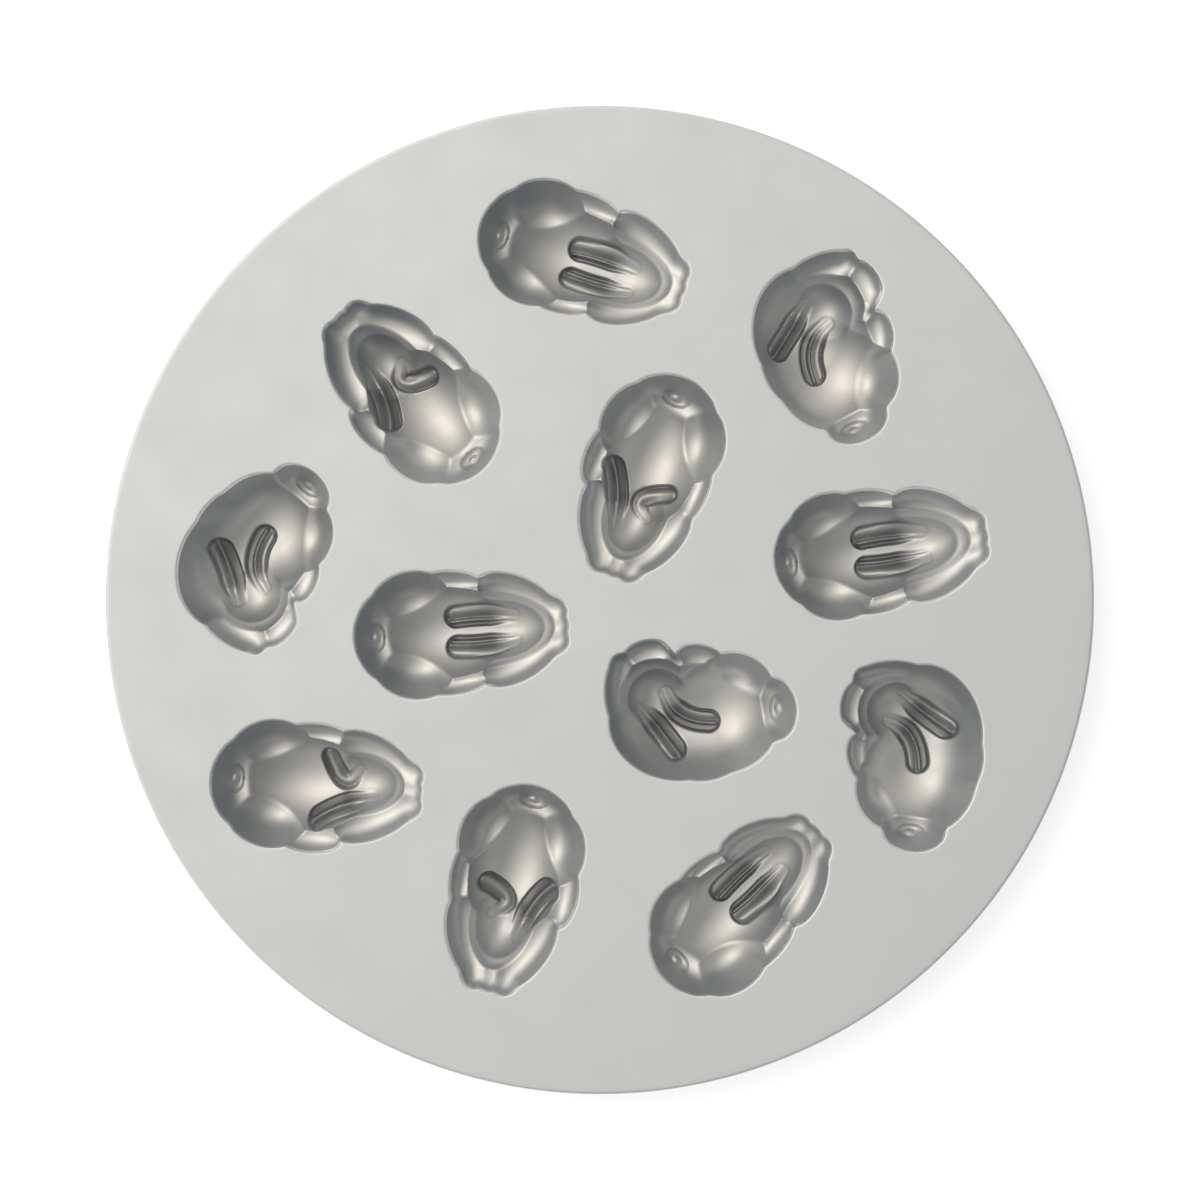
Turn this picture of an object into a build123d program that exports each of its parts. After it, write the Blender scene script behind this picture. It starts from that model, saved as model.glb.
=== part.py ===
from build123d import *
import math
import os
from typing import NamedTuple

import numpy as np

# Round cake pan with twelve cups in the shape of small bunnies. Millimetres, Z up.
# The origin lies on the surface that the pan rests on, under the middle of the plate,
# and +Y is the side of the plate that is up in a view from above.
# The cups come in three designs: a straight bunny, one with a folded ear and a curled one.

# Plate
plate_thickness = 3.0
rim_land = 18.2        # flat metal between the rim and the cup that comes nearest to it
rim_round = 1.2        # rounding of the rim, above and below
mouth_bevel = 0.6      # depth of the bevel where the top of the plate turns down into a cup
mouth_flare = 0.5      # how far that bevel reaches out into the plate
seat_step = 0.3        # how far a cup's edge stands in from the plate's opening, so they meet on a flat

# Metal of the cups
cup_wall = 2.6         # at the sides
floor_metal = 3.0      # below the deepest ear
crown_cut = 0.7        # rounded metal that is missing below each cup, where it rests on a flat
wall_angle = 70.0      # steepest slope of the sides, in degrees from level

# Hollows: how deep each part of a bunny lies below the top of the plate
back_depth = 18.5
head_depth = 17.5
haunch_depth = 14.8
tail_depth = 11.5
arm_depth = 7.6
foot_depth = 5.6
paw_depth = 5.2
ear_raise = 2.5        # how much deeper an ear lies than the back or head that it lies on
tuft_raise = 1.1       # the same for a tuft of the tail

# Bunnies, seen from above. They are drawn for a length of 67, head towards +X.
drawn_length = 67.0
bunny_length = 67.0
figure_scale = bunny_length / drawn_length

# How much two lobes may differ in depth where the crease between them is still rounded
body_crease = 4.0
haunch_crease = 4.0
head_crease = 2.5
limb_crease = 2.2

# How closely a surface follows its side and its floor where they meet, higher is closer, and how
# much faster than straight a side goes down further in, where only the floor counts
side_fit = 3.5
side_fall = 0.03
least_depth = 2.0      # of a hollow where no lobe reaches, between a notch and the outline around it
cut_blend = 0.6        # rounding where a shape that cuts the metal leaves it

# Floor of a lobe: half is an ellipsoid, less gives a flatter floor with steeper sides
round_floor = 0.5
full_floor = 0.42
flat_floor = 0.34
peaked_floor = 1.0
outside_rise = 3.0     # height above the plate of a lobe's surface, one half width outside its rim

# Ears: the slope around the leaf, how it starts at its base, and the two folds along it
ear_edge = 1.2         # width of the slope
ear_start = 0.3        # share of its depth that an ear already has at its base
ear_growth = 0.4       # share of its length over which an ear widens and deepens
fold_room = (0.4, 1.4)  # a fold rises between these distances from the edge of the leaf
fold_taper = 0.7       # share of the ear's length after which its folds come to an end
crest_width = 0.6
crest_share = 0.75     # share of the ear's depth that its sharp crest fills again
roll_width = 1.2
roll_share = 0.6       # the same for its soft roll

# Outline of a mouth: how steeply its radius may change as it turns, over how many points that is
# looked at, how far it is smoothed, and how many of its pieces a distance to it is looked for in
outline_turns = 720
outline_steepness = 3.0
steepness_reach = 30
outline_smoothing = 3
near_pieces = 56

# How finely the shapes are drawn: distance between the cross-sections of a hollow and of its
# underside, points around an opening of the plate, short straight pieces of an ear's bend
hollow_pitch = 1.4
underside_pitch = 2.4
opening_points = 96
ear_spans = 24

# An outline is looked for between these distances from a bunny's middle, at this step first
search_from = 6.0
search_to = 50.0
search_step = 0.25
halvings = 24

# The solids that are cut to shape reach this far above the plate
cut_height = 2.0


class Lobe(NamedTuple):
    """A rounded hollow that is an ellipse from above, in drawn millimetres and degrees."""

    x: float
    y: float
    half_length: float
    half_width: float
    turn: float
    depth: float
    floor: float
    crease: float = limb_crease

    def mirrored(self):
        return self._replace(y=-self.y, turn=-self.turn)

    def grown(self, side, below):
        """The same lobe with metal added around and below it."""
        grow = side / figure_scale
        return self._replace(
            half_length=self.half_length + grow,
            half_width=self.half_width + grow,
            depth=self.depth + below,
        )


class Ear(NamedTuple):
    """A leaf along a bend from its base over its middle to the centre of its round tip. A sharp
    crest and a soft roll run along it, so many half widths to the left of the bend."""

    base: tuple
    middle: tuple
    tip: tuple
    base_half_width: float
    half_width: float
    crest: float
    roll: float

    def mirrored(self):
        flip = [(x, -y) for x, y in (self.base, self.middle, self.tip)]
        return Ear(*flip, self.base_half_width, self.half_width, -self.crest, -self.roll)


class Bunny(NamedTuple):
    trunk: list
    limbs: list
    tufts: list
    ears: list


def pair(item):
    """The same lobe or ear on both sides of the bunny."""
    return [item, item.mirrored()]


haunches = pair(Lobe(-14.0, 9.4, 12.6, 10.3, 8.0, haunch_depth, round_floor, haunch_crease))
tail = Lobe(-25.0, 0.0, 6.8, 10.4, 0.0, tail_depth, flat_floor)
tail_tufts = [
    Lobe(-27.0, 4.9, 3.0, 2.7, 0.0, tuft_raise, peaked_floor),
    Lobe(-27.4, 0.0, 3.0, 2.7, 0.0, tuft_raise, peaked_floor),
    Lobe(-27.0, -4.9, 3.0, 2.7, 0.0, tuft_raise, peaked_floor),
]

# Lies straight, with both ears laid back side by side
straight_bunny = Bunny(
    trunk=[
        Lobe(-4.5, 0.0, 21.5, 15.4, 0.0, back_depth, full_floor),
        Lobe(12.0, 0.0, 18.6, 12.3, 0.0, head_depth, full_floor, head_crease),
    ],
    limbs=haunches
    + [tail]
    + pair(Lobe(1.3, 15.0, 9.4, 3.5, 0.0, foot_depth, round_floor))
    + pair(Lobe(19.3, 9.2, 13.6, 6.7, -27.0, arm_depth, flat_floor))
    + pair(Lobe(29.4, 5.1, 5.3, 4.3, -24.0, paw_depth, flat_floor))
    + [Lobe(27.8, 0.0, 6.9, 6.0, 0.0, paw_depth, flat_floor)],
    tufts=tail_tufts,
    ears=pair(Ear((15.5, 4.2), (7.0, 4.9), (-1.4, 4.7), 2.6, 4.1, 0.42, -0.34)),
)

# The same with its head turned a little, one ear laid back aslant and the other folded over
folded_ear_bunny = Bunny(
    trunk=[
        Lobe(-4.0, 0.0, 21.8, 15.6, 0.0, back_depth, full_floor),
        Lobe(13.5, 0.5, 14.4, 10.6, 0.0, head_depth, full_floor, head_crease),
    ],
    limbs=haunches
    + [
        tail,
        Lobe(2.0, 14.8, 9.4, 4.0, 0.0, foot_depth, round_floor),
        Lobe(0.6, -16.0, 9.6, 4.7, -8.0, foot_depth, round_floor),
        Lobe(18.6, 9.4, 13.4, 6.7, -26.0, arm_depth, flat_floor),
        Lobe(19.3, -8.8, 13.8, 6.6, 25.0, arm_depth, flat_floor),
        Lobe(26.8, 0.0, 6.9, 6.2, 0.0, paw_depth, flat_floor),
    ]
    + pair(Lobe(28.8, 5.0, 5.2, 4.4, -24.0, paw_depth, flat_floor)),
    tufts=tail_tufts,
    ears=[
        Ear((15.5, -4.8), (7.4, -7.4), (0.8, -11.2), 2.6, 4.3, -0.2, 0.4),
        Ear((12.2, 4.2), (7.4, 0.9), (3.0, 7.8), 2.4, 3.4, 0.5, 0.0),
    ],
)

# Lies curled to one side, so its back is one large bow
curled_bunny = Bunny(
    trunk=[
        Lobe(-7.0, 0.5, 17.6, 17.4, 0.0, back_depth, full_floor),
        Lobe(3.0, 6.0, 18.5, 15.5, 0.0, back_depth, round_floor, body_crease),
        Lobe(12.8, -0.8, 11.4, 11.8, 0.0, head_depth, full_floor, head_crease),
    ],
    limbs=[
        Lobe(-2.5, 2.5, 18.4, 18.6, 0.0, haunch_depth, round_floor, haunch_crease),
        Lobe(5.5, 7.0, 19.8, 16.0, 0.0, haunch_depth, round_floor, haunch_crease),
        Lobe(-9.8, -10.6, 12.0, 10.3, 0.0, haunch_depth, full_floor, haunch_crease),
        Lobe(-8.5, -0.5, 17.6, 17.4, 0.0, haunch_depth, round_floor, haunch_crease),
        Lobe(-23.4, -6.8, 9.8, 6.8, -70.0, tail_depth, flat_floor),
        Lobe(2.2, -15.4, 8.0, 4.8, 0.0, foot_depth, flat_floor),
        Lobe(22.6, 0.8, 12.2, 6.0, -72.0, arm_depth, flat_floor),
        Lobe(25.4, -7.6, 4.0, 3.9, 0.0, paw_depth, flat_floor),
        Lobe(18.4, -12.6, 8.0, 5.0, 24.0, paw_depth, flat_floor),
        Lobe(10.5, -10.8, 4.6, 4.3, 0.0, paw_depth, flat_floor),
    ],
    tufts=[
        Lobe(-26.4, -3.0, 3.0, 2.7, 0.0, tuft_raise, peaked_floor),
        Lobe(-25.6, -7.8, 3.0, 2.7, 0.0, tuft_raise, peaked_floor),
        Lobe(-23.4, -12.2, 3.0, 2.7, 0.0, tuft_raise, peaked_floor),
    ],
    ears=[
        Ear((15.6, 4.2), (8.4, 9.2), (2.2, 14.0), 2.6, 4.1, 0.05, -0.5),
        Ear((9.8, -2.6), (2.4, 2.8), (-6.0, 2.8), 2.6, 4.1, -0.38, 0.5),
    ],
)


class Place(NamedTuple):
    """Where a cup's middle lies on the plate, and which way the bunny's head points."""

    x: float
    y: float
    heading: float
    flipped: bool
    bunny: Bunny


places = {
    "cup_01": Place(-6.6, 106.4, -18.0, False, straight_bunny),
    "cup_02": Place(70.5, 78.0, 95.0, False, curled_bunny),
    "cup_03": Place(-57.7, 63.3, 133.0, True, folded_ear_bunny),
    "cup_04": Place(15.0, 38.9, 249.8, False, folded_ear_bunny),
    "cup_05": Place(85.3, 15.2, 8.0, False, straight_bunny),
    "cup_06": Place(-105.8, 13.7, 252.3, True, curled_bunny),
    "cup_07": Place(-44.2, -10.0, 4.0, False, straight_bunny),
    "cup_08": Place(-88.4, -57.3, -3.0, False, folded_ear_bunny),
    "cup_09": Place(-27.1, -88.1, 256.3, True, folded_ear_bunny),
    "cup_10": Place(29.5, -34.2, 165.0, False, curled_bunny),
    "cup_11": Place(96.6, -46.6, 106.8, True, curled_bunny),
    "cup_12": Place(42.6, -94.8, 44.8, False, straight_bunny),
}


def soft_max(values, softness):
    """The largest of several surfaces, with the creases between them rounded."""
    top = np.max(values, axis=0)
    spread = np.sum([np.exp((value - top) / softness) for value in values], axis=0)
    return top + softness * np.log(spread)


def join(a, b, crease):
    """The larger of two surfaces, rounded where they differ by less than the crease: a parabola
    is added that is a quarter of the crease high where they meet."""
    near = np.maximum(crease - np.abs(a - b), 0) / crease
    return np.maximum(a, b) + near * near * crease / 4


def in_lobe(lobe, x, y):
    """Place within a lobe: how far along and how far across, both in drawn millimetres."""
    c = math.cos(math.radians(lobe.turn))
    s = math.sin(math.radians(lobe.turn))
    dx = x - lobe.x
    dy = y - lobe.y
    return dx * c + dy * s, dy * c - dx * s


def inside_by(lobe, x, y):
    """Distance inside the rim of a lobe, negative outside it. Good near the rim."""
    along, across = in_lobe(lobe, x, y)
    share = np.hypot(along / lobe.half_length, across / lobe.half_width)
    slope = np.hypot(along / lobe.half_length**2, across / lobe.half_width**2)
    return share * (1 - share) / np.maximum(slope, 1e-6)


def dome(lobe, x, y):
    """Depth of one lobe. Outside its rim it rises gently above the plate."""
    along, across = in_lobe(lobe, x, y)
    share = (along / lobe.half_length) ** 2 + (across / lobe.half_width) ** 2
    bowl = lobe.depth * np.maximum(1 - share, 0) ** lobe.floor
    return np.where(share < 1, bowl, outside_rise * (1 - np.sqrt(share)))


def join_lobes(lobes, x, y):
    """Depth of several lobes, joined one after another."""
    depth = dome(lobes[0], x, y)
    for lobe in lobes[1:]:
        depth = join(depth, dome(lobe, x, y), lobe.crease)
    return depth


def step_up(value, start, end):
    """Smooth step from 0 at the start to 1 at the end."""
    t = np.clip((value - start) / (end - start), 0, 1)
    return t * t * (3 - 2 * t)


def ear_depth(ear, x, y):
    """Extra depth of an ear: a leaf with steep edges, a round tip and two folds along it."""
    base, middle, tip = (np.array(p) for p in (ear.base, ear.middle, ear.tip))
    control = 2 * middle - (base + tip) / 2
    nearest = np.full(x.shape, 1e9)
    share = np.zeros(x.shape)
    side = np.zeros(x.shape)
    for i in range(ear_spans):
        a, b = (
            (1 - t) ** 2 * base + 2 * t * (1 - t) * control + t**2 * tip
            for t in (i / ear_spans, (i + 1) / ear_spans)
        )
        ex, ey = b - a
        run = math.hypot(ex, ey)
        f = np.clip(((x - a[0]) * ex + (y - a[1]) * ey) / run**2, 0, 1)
        qx = x - a[0] - f * ex
        qy = y - a[1] - f * ey
        away = np.hypot(qx, qy)
        closer = away < nearest
        nearest = np.where(closer, away, nearest)
        share = np.where(closer, (i + f) / ear_spans, share)
        side = np.where(closer, (ex * qy - ey * qx) / run, side)
    grown = step_up(share, 0.0, ear_growth)
    half_width = ear.base_half_width + (ear.half_width - ear.base_half_width) * grown
    edge = step_up(half_width - nearest, 0.0, ear_edge)
    room = step_up(half_width - nearest, *fold_room)
    taper = 1 - step_up(share, fold_taper, 1.0)
    crest = np.exp(-(((side - ear.crest * half_width) / crest_width) ** 2))
    roll = np.exp(-(((side - ear.roll * half_width) / roll_width) ** 2))
    folds = np.maximum(crest_share * crest, roll_share * roll) * room * taper
    return ear_raise * edge * (ear_start + (1 - ear_start) * grown) * (1 - folds)


def last_above(surface, level, turn):
    """How far from the middle a surface last has this level, at the given turns. The last step
    that is above the level is found first, and the place after it by halving."""
    steps = np.arange(search_from, search_to, search_step)[:, None]
    high = surface(steps * np.cos(turn), steps * np.sin(turn)) > level
    near = np.max(np.where(high, steps, search_from), axis=0)
    far = near + search_step
    for _ in range(halvings):
        middle = (near + far) / 2
        above = surface(middle * np.cos(turn), middle * np.sin(turn)) > level
        near = np.where(above, middle, near)
        far = np.where(above, far, middle)
    return near


def mouth_outline(bunny):
    """Points of the outline around all lobes of a bunny, at even turns. Its slope is held down
    where two lobes leave a notch, and it is smoothed a little."""
    lobes = bunny.trunk + bunny.limbs
    turn = np.linspace(0, math.tau, outline_turns, endpoint=False)
    radius = last_above(
        lambda x, y: np.max([inside_by(lobe, x, y) for lobe in lobes], axis=0), 0.0, turn
    )
    for shift in range(1, steepness_reach):
        rise = 1 + outline_steepness * shift * math.tau / outline_turns
        radius = np.minimum(radius, np.roll(radius, shift) * rise)
        radius = np.minimum(radius, np.roll(radius, -shift) * rise)
    window = np.hanning(2 * outline_smoothing + 3)[1:-1]
    around = np.concatenate([radius[-outline_smoothing:], radius, radius[:outline_smoothing]])
    radius = np.convolve(around, window / window.sum(), mode="valid")
    return np.stack([radius * np.cos(turn), radius * np.sin(turn)], axis=-1)


bunnies = (straight_bunny, folded_ear_bunny, curled_bunny)
mouths = {id(bunny): mouth_outline(bunny) for bunny in bunnies}


def inside_mouth(bunny, x, y):
    """Distance inside a bunny's outline, negative outside it: the least distance to the short
    straight pieces of the outline that lie about the same way from the middle."""
    points = mouths[id(bunny)]
    ahead = np.roll(points, -1, axis=0) - points
    turn = np.mod(np.arctan2(y, x), math.tau) * outline_turns / math.tau
    here = np.floor(turn).astype(int)
    nearest = np.full(x.shape, np.inf)
    for shift in range(-near_pieces, near_pieces + 1):
        piece = (here + shift) % outline_turns
        ex, ey = ahead[piece, 0], ahead[piece, 1]
        dx, dy = x - points[piece, 0], y - points[piece, 1]
        part = np.clip((dx * ex + dy * ey) / (ex * ex + ey * ey), 0, 1)
        nearest = np.minimum(nearest, (dx - part * ex) ** 2 + (dy - part * ey) ** 2)
    radius = np.hypot(points[:, 0], points[:, 1])
    reach = np.interp(turn, np.arange(outline_turns), radius, period=outline_turns)
    return np.where(np.hypot(x, y) < reach, 1, -1) * np.sqrt(nearest)


def side_depth(inside):
    """Depth of the side, so far inside the mouth."""
    return math.tan(math.radians(wall_angle)) * inside + side_fall * np.maximum(inside, 0) ** 3


def rounded(side, floor):
    """The smaller depth of a side and a floor, rounded where they meet: one over the root of the
    sum of one over their powers. Outside the mouth it is the side's."""
    tiny = 1e-3
    low = np.maximum(side, tiny)
    deep = np.maximum(floor, tiny)
    return np.where(side > tiny, (low**-side_fit + deep**-side_fit) ** (-1 / side_fit), side)


def hollow_depth(bunny, x, y):
    """Depth of a cup's hollow below the top of the plate, for arrays x and y."""
    x = x / figure_scale
    y = y / figure_scale
    floor = join_lobes(bunny.trunk + bunny.limbs, x, y)
    floor = floor + np.max([ear_depth(ear, x, y) for ear in bunny.ears], axis=0)
    for tuft in bunny.tufts:
        floor = floor + np.maximum(dome(tuft, x, y), 0)
    side = side_depth(inside_mouth(bunny, x, y) * figure_scale)
    return rounded(side, np.maximum(floor, least_depth))


def underside_depth(bunny, x, y):
    """Depth of the outside of a cup below the top of the plate. It has no ears or tufts."""
    x = x / figure_scale
    y = y / figure_scale
    below = ear_raise + floor_metal + crown_cut
    trunk = [lobe.grown(cup_wall, below) for lobe in bunny.trunk]
    limbs = [lobe.grown(cup_wall, cup_wall) for lobe in bunny.limbs]
    floor = join_lobes(trunk + limbs, x, y)
    side = side_depth(inside_mouth(bunny, x, y) * figure_scale + cup_wall)
    return rounded(side, np.maximum(floor, least_depth + cup_wall))


def opening(bunny, depth):
    """Points of the line around a hollow where it is that deep, at even turns from its middle."""
    turn = np.linspace(0, math.tau, opening_points, endpoint=False)
    reach = last_above(
        lambda x, y: hollow_depth(bunny, x * figure_scale, y * figure_scale), depth, turn
    )
    reach = reach * figure_scale
    return list(zip((reach * np.cos(turn)).tolist(), (reach * np.sin(turn)).tolist()))


deepest = max(back_depth, head_depth, haunch_depth)
pan_height = deepest + ear_raise + floor_metal


def farthest_reach(place):
    """Distance from the middle of the plate to the farthest point of a cup's mouth."""
    heading = math.radians(place.heading)
    turned = []
    for u, v in (mouths[id(place.bunny)] * figure_scale).tolist():
        v = -v if place.flipped else v
        x = place.x * figure_scale + u * math.cos(heading) - v * math.sin(heading)
        y = place.y * figure_scale + u * math.sin(heading) + v * math.cos(heading)
        turned.append(math.hypot(x, y))
    return max(turned)


plate_radius = max(farthest_reach(place) for place in places.values()) + rim_land


def block(bunny, depth_of, pitch):
    """Solid above a lobed surface, lofted through cross-sections from tail to head."""
    lobes = bunny.trunk + bunny.limbs
    spans_x = []
    spans_y = []
    for lobe in lobes:
        c = math.cos(math.radians(lobe.turn))
        s = math.sin(math.radians(lobe.turn))
        spans_x.append(abs(lobe.x) + math.hypot(lobe.half_length * c, lobe.half_width * s))
        spans_y.append(abs(lobe.y) + math.hypot(lobe.half_length * s, lobe.half_width * c))
    margin = cup_wall + 2 * underside_pitch
    half_x = max(spans_x) * figure_scale + margin
    half_y = max(spans_y) * figure_scale + margin
    xs = np.linspace(-half_x, half_x, math.ceil(2 * half_x / pitch) + 1)
    ys = np.linspace(-half_y, half_y, math.ceil(2 * half_y / pitch) + 1)
    grid_x, grid_y = np.meshgrid(xs, ys, indexing="ij")
    level = np.full(grid_x.shape, -cut_height)
    depth = soft_max([depth_of(bunny, grid_x, grid_y), level], cut_blend)
    steps = np.linspace(0, 1, len(ys)).tolist()
    lid = 3 * cut_height
    with BuildPart() as solid:
        for x, row in zip(xs.tolist(), depth.tolist()):
            with BuildSketch(Plane(origin=(x, 0, 0), x_dir=(0, 1, 0), z_dir=(1, 0, 0))):
                with BuildLine():
                    curve = [(y, -d) for y, d in zip(ys.tolist(), row)]
                    add(Edge.make_spline([Vector(*point) for point in curve], parameters=steps))
                    Polyline(curve[-1], (half_y, lid), (-half_y, lid), curve[0])
                make_face()
        loft(ruled=True)
    return solid.part


def cup(bunny):
    """One cup with its head towards +X. The top of the plate is at zero height."""
    underside = block(bunny, underside_depth, underside_pitch)
    hollow = block(bunny, hollow_depth, hollow_pitch)
    with BuildPart() as shell:
        add(underside)
        with BuildSketch(Plane.XY.offset(-plate_thickness)):
            Rectangle(2 * bunny_length, 2 * bunny_length)
        extrude(amount=plate_thickness - pan_height, mode=Mode.INTERSECT)
        add(hollow, mode=Mode.SUBTRACT)
    return shell.part


cups = {id(bunny): cup(bunny) for bunny in bunnies}
os.makedirs("parts", exist_ok=True)

# Cups: each rim lies face to face against the underside of the plate
for name, place in places.items():
    shape = cups[id(place.bunny)]
    if place.flipped:
        shape = mirror(shape, about=Plane.XZ)
    spot = Location(
        (place.x * figure_scale, place.y * figure_scale, pan_height), (0, 0, place.heading)
    )
    with BuildPart() as placed_cup:
        add(shape.moved(spot))
    placed_cup.part.label = name
    export_step(placed_cup.part, f"parts/{name}.step")

# Plate: a round disc with one bunny-shaped opening above each cup. Going down, an opening
# narrows along its bevel and then along the same slope as the side of the hollow below it.
side_slope = math.tan(math.radians(wall_angle))
opening_levels = (
    (0.0, -mouth_flare * side_slope),
    (mouth_bevel, mouth_bevel),
    (plate_thickness, plate_thickness - seat_step * side_slope),
)
with BuildPart() as plate:
    with BuildSketch(Plane.XY.offset(pan_height - plate_thickness)):
        Circle(plate_radius)
    extrude(amount=plate_thickness)
    fillet(plate.edges().filter_by(GeomType.CIRCLE), rim_round)
    for place in places.values():
        heading = math.radians(place.heading)
        for down, line_depth in opening_levels:
            level = Plane(
                origin=(place.x * figure_scale, place.y * figure_scale, pan_height - down),
                x_dir=(math.cos(heading), math.sin(heading), 0),
            )
            points = opening(place.bunny, line_depth)
            if place.flipped:
                points = [(u, -v) for u, v in points]
            with BuildSketch(level):
                with BuildLine():
                    Spline(*points, periodic=True)
                make_face()
        loft(ruled=True, mode=Mode.SUBTRACT)
plate.part.label = "plate"
export_step(plate.part, "parts/plate.step")
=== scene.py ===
import math
from typing import NamedTuple

import bpy
import numpy as np
from bpy.props import FloatProperty, FloatVectorProperty, PointerProperty
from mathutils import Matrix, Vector
from mathutils.geometry import delaunay_2d_cdt


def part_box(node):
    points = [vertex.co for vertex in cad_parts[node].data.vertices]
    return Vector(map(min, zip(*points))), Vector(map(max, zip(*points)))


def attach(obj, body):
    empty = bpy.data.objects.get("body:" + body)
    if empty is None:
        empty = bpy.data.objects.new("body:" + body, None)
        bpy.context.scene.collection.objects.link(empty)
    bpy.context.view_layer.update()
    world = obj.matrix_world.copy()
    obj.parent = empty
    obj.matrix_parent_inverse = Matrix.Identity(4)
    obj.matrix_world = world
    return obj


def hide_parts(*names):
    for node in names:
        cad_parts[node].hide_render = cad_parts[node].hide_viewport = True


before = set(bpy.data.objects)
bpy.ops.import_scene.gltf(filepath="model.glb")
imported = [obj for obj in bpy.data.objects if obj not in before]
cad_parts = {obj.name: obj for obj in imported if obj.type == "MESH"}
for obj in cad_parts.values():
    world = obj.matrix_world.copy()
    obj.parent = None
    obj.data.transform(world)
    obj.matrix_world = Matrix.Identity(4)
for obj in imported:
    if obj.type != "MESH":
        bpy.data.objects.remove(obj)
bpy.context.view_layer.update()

bl_info = {
    "name": "Bunny cake pan",
    "version": (1, 0, 0),
    "blender": (4, 5, 0),
    "location": "3D View > Sidebar > Cake Pan",
    "description": "Builds a round cast-metal cake pan with twelve cups shaped as small bunnies",
    "category": "Add Mesh",
}

# The plate that the frame gives. Shapes are worked out in millimetres and become metres in a mesh.
MM = 0.001
plate_low, plate_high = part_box("plate")
PLATE_TOP = plate_high.z / MM
PLATE_UNDER = plate_low.z / MM
PLATE_RADIUS = (plate_high.x - plate_low.x) / 2 / MM
BODY = "root"


def length(name, description, millimetres):
    """A size in metres that a user may change."""
    return FloatProperty(
        name=name,
        description=description,
        default=millimetres * MM,
        min=0.0,
        unit="LENGTH",
        subtype="DISTANCE",
        precision=5,
    )


def colour(name, description, default):
    """A colour that a user may change."""
    return FloatVectorProperty(
        name=name,
        description=description,
        default=default,
        size=3,
        min=0.0,
        max=1.0,
        subtype="COLOR",
    )


def share(name, description, default, top=1.0):
    """A number from 0 to its top that a user may change."""
    return FloatProperty(name=name, description=description, default=default, min=0.0, max=top)


class PanSizes(bpy.types.PropertyGroup):
    """Roundings and thicknesses of the metal"""

    rim_round: length("Rim rounding", "Rounding of the plate's rim, above and below", 1.2)
    mouth_round: length(
        "Mouth rounding", "Softness of the edge where the plate turns down into a cup", 0.45
    )
    mouth_reach: length("Mouth reach", "How far from a mouth the plate starts to turn down", 1.5)
    cup_wall: length("Cup wall", "Metal around the side of a hollow", 2.6)
    floor_metal: length("Floor metal", "Metal below the deepest ear", 3.6)
    crown_cut: length("Crown cut", "Rounded metal that is missing where a cup rests on a flat", 0.7)
    wall_angle: FloatProperty(
        name="Wall angle",
        description="Steepest slope of a hollow's side, from level",
        default=math.radians(70),
        unit="ROTATION",
        subtype="ANGLE",
    )


class HollowDepths(bpy.types.PropertyGroup):
    """Depths of the parts of a bunny"""

    back: length("Back", "Depth of a bunny's back below the top of the plate", 18.5)
    head: length("Head", "Depth of the head", 17.5)
    haunch: length("Haunch", "Depth of the haunches", 14.8)
    cheek: length("Cheek", "Depth of the cheeks", 12.4)
    tail: length("Tail", "Depth of the tail", 11.5)
    arm: length("Arm", "Depth of the arms", 7.6)
    foot: length("Foot", "Depth of the feet", 5.6)
    paw: length("Paw", "Depth of the paws", 5.2)
    ear: length("Ear", "How much deeper an ear lies than what it lies on", 1.9)
    tuft: length("Tuft", "How much deeper the pit at the end of the tail lies than the tail", 1.9)
    knob: length("Knob", "How much less deep the middle of that pit is", 1.6)


class PanFinish(bpy.types.PropertyGroup):
    """Colours and roughnesses of the metal"""

    plate_colour: colour("Plate", "Satin metal of the plate", (0.865, 0.872, 0.862))
    # The floors' warm tint and the sides' darker, cooler tint are a lit and a shaded copy of one
    # metal: the sides' tint is painted shade
    hollow_colour: colour("Hollows", "Smooth metal on the floors of the cups", (0.7, 0.685, 0.645))
    side_shade_colour: colour("Sides", "Smooth metal on the steep sides of the cups", (0.53, 0.55, 0.57))
    outside_colour: colour("Outside", "Cast metal outside the cups", (0.5, 0.5, 0.49))
    # Painted highlight: the rim and the rounded mouth edges are brighter than the plate, as where
    # they catch the lamp
    edge_highlight_colour: colour(
        "Edges", "Bright metal of the plate's rim and around its openings", (0.98, 0.98, 0.97)
    )
    plate_roughness: share("Plate roughness", "Roughness of the satin metal", 0.8)
    edge_roughness: share("Edge roughness", "Roughness of the plate's edges", 0.3)
    hollow_roughness: share("Hollow roughness", "Roughness inside the cups", 0.52)
    outside_roughness: share("Outside roughness", "Roughness of the cast metal", 0.55)
    # Painted shade: how much lightness the metal keeps in the grooves of an ear, where shade falls
    fold_shade_kept: share(
        "Fold_shade", "Share of its lightness that metal keeps in the folds of an ear", 0.45
    )


class StageSettings(bpy.types.PropertyGroup):
    """The camera, the light and the floor"""

    camera_height: length("Camera height", "How far the camera is above the plate", 550.0)
    view_width: length(
        "View width", "How much the camera sees across, at the top of the plate", 369.6
    )
    sky: share("Sky", "Strength of the light from all around", 1.0, 5.0)
    sky_near: colour("Bright sky", "The sky on the side of the lamp", (1.0, 0.98, 0.95))
    sky_far: colour("Dark sky", "The sky on the far side", (0.17, 0.19, 0.21))
    key: share("Key lamp", "Power of the large soft lamp in watts", 5.0, 500.0)
    floor_size: length("Floor size", "Side of the floor", 6000.0)


# How much two lobes may differ in depth where the crease between them is still rounded
BODY_CREASE = 4.0
HAUNCH_CREASE = 0.9
HEAD_CREASE = 5.0
CHEEK_CREASE = 0.6
LIMB_CREASE = 1.2

# Softness of the edge of the flat that a cup rests on
REST_BLEND = 0.15

# Outline of a mouth: its points, how steeply its radius may change as it turns and over how many
# points that is held, how far it is smoothed, and how many of its pieces are near a point
OUTLINE_TURNS = 720
OUTLINE_STEEPNESS = 3.0
STEEPNESS_REACH = 30
OUTLINE_SMOOTHING = 3
NEAR_PIECES = 56

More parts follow.
